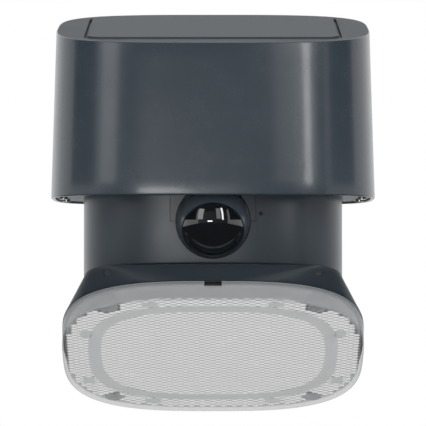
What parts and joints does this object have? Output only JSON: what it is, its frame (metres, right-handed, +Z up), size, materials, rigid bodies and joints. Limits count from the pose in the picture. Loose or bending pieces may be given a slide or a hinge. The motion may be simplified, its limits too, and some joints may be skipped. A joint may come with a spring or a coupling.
{
  "type": "floodlight security camera",
  "caption": "Wall-mounted solar floodlight camera: superellipse shell with a roof panel, a turning camera ball in its neck and a tilting lamp head with a clear honeycomb cover.",
  "frame": {"origin": "middle of the wall bracket's bolt pattern, on the plane of the wall", "axes": "+Z up, +Y into the wall, -Y the way the camera looks, +X to the right seen from the front"},
  "size_m": [0.225, 0.194, 0.2878],
  "materials": {
    "shell_paint": "dark slate satin paint on the moulded shells",
    "neck_paint": "slate satin paint, slightly glossier than the roof shell",
    "cover_plastic": "matte slate moulded plastic",
    "panel_glass": "matt-etched panel glass",
    "solar_cell": "dark blue-black cells",
    "rubber": "black rubber",
    "galvanised": "plated sheet steel",
    "screw_steel": "stainless steel",
    "circuit_board": "green solder mask",
    "white_board": "white solder mask",
    "battery_wrap": "shrink wrap",
    "black_plastic": "black moulded plastic",
    "black_gloss": "black polished plastic",
    "lens_glass": "coated glass",
    "nylon": "natural nylon",
    "bronze": "sintered bronze",
    "alloy": "bare aluminium",
    "clear_plastic": "clear polycarbonate with a fine hexagonal pattern",
    "white_plastic": "white reflector plastic",
    "ring_plastic": "milky diffuser plastic",
    "led_phosphor": "yellow phosphor",
    "infrared_led": "dark red lens",
    "gold_trace": "gold plated copper"
  },
  "bodies": {
    "housing": {"wall_bracket": "galvanised", "lock_screw": "screw_steel", "rear_cover": "cover_plastic", "rear_cover_screws": "screw_steel", "upper_shell": "shell_paint", "panel_tray": "cover_plastic", "solar_cells": "solar_cell", "panel_glass": "panel_glass", "panel_seal": "rubber", "bottom_cover": "cover_plastic", "bottom_cover_screws": "screw_steel", "battery_cells": "battery_wrap", "battery_holder": "black_plastic", "main_board": "circuit_board", "shield_cans": "galvanised", "wifi_antenna": "gold_trace", "siren_speaker": "black_plastic", "neck_front_shell": "neck_paint", "neck_rear_shell": "neck_paint", "neck_screws": "screw_steel", "ball_retainer": "neck_paint", "ball_seal": "rubber", "microphone": "screw_steel", "pan_motor": "screw_steel", "motor_bracket": "galvanised", "pan_bearing": "bronze", "hinge_bracket": "galvanised", "hinge_bracket_screws": "screw_steel", "port_board": "circuit_board", "usb_port": "screw_steel", "card_slot": "screw_steel"},
    "pan": {"pan_yoke": "black_plastic", "pan_gear": "nylon"},
    "pinion": {"pan_pinion": "nylon"},
    "ball": {"ball_front_shell": "shell_paint", "ball_rear_shell": "shell_paint", "ball_window": "black_gloss", "lens_barrel": "black_plastic", "lens_glass": "lens_glass", "sensor_board": "circuit_board", "ir_board": "circuit_board", "ir_leds": "infrared_led", "tilt_motor": "screw_steel", "tilt_pins": "screw_steel"},
    "head": {"head_housing": "shell_paint", "clear_cover": "clear_plastic", "cover_gasket": "rubber", "cover_screws": "screw_steel", "light_ring": "ring_plastic", "reflector": "white_plastic", "led_board": "white_board", "led_chips": "led_phosphor", "heat_spreader": "alloy", "hinge_pins": "screw_steel", "hinge_washers": "bronze", "housing_plugs": "rubber", "light_sensor": "black_gloss"},
    "flap": {"service_flap": "rubber"},
    "button": {"reset_button": "black_plastic"}
  },
  "joints": [
    {"name": "pan_turn", "type": "hinge", "parent": "housing", "child": "pan", "pos_m": [0, -0.166, -0.0833], "axis": [0, 0, 1], "range_deg": [-60, 60]},
    {"name": "pinion_spin", "type": "hinge", "parent": "housing", "child": "pinion", "pos_m": [0.02405, -0.166, -0.0833], "axis": [0, 0, 1], "range_deg": [-185, 185]},
    {"name": "ball_tilt", "type": "hinge", "parent": "pan", "child": "ball", "pos_m": [0, -0.166, -0.0833], "axis": [1, 0, 0], "range_deg": [-19, 31]},
    {"name": "lamp_tilt", "type": "hinge", "parent": "housing", "child": "head", "pos_m": [0, -0.16825, -0.12433], "axis": [1, 0, 0], "range_deg": [-30, 15]},
    {"name": "flap_swing", "type": "hinge", "parent": "housing", "child": "flap", "pos_m": [-0.0341, -0.0357, -0.087], "axis": [0, 0, 1], "range_deg": [0, 120]},
    {"name": "button_press", "type": "slide", "parent": "housing", "child": "button", "axis": [0, -1, 0], "range_m": [0, 0.0008], "stiffness_N_per_m": 800}
  ],
  "couplings": [
    {"joint": "pinion_spin", "follows": "pan_turn", "ratio": -3}
  ]
}
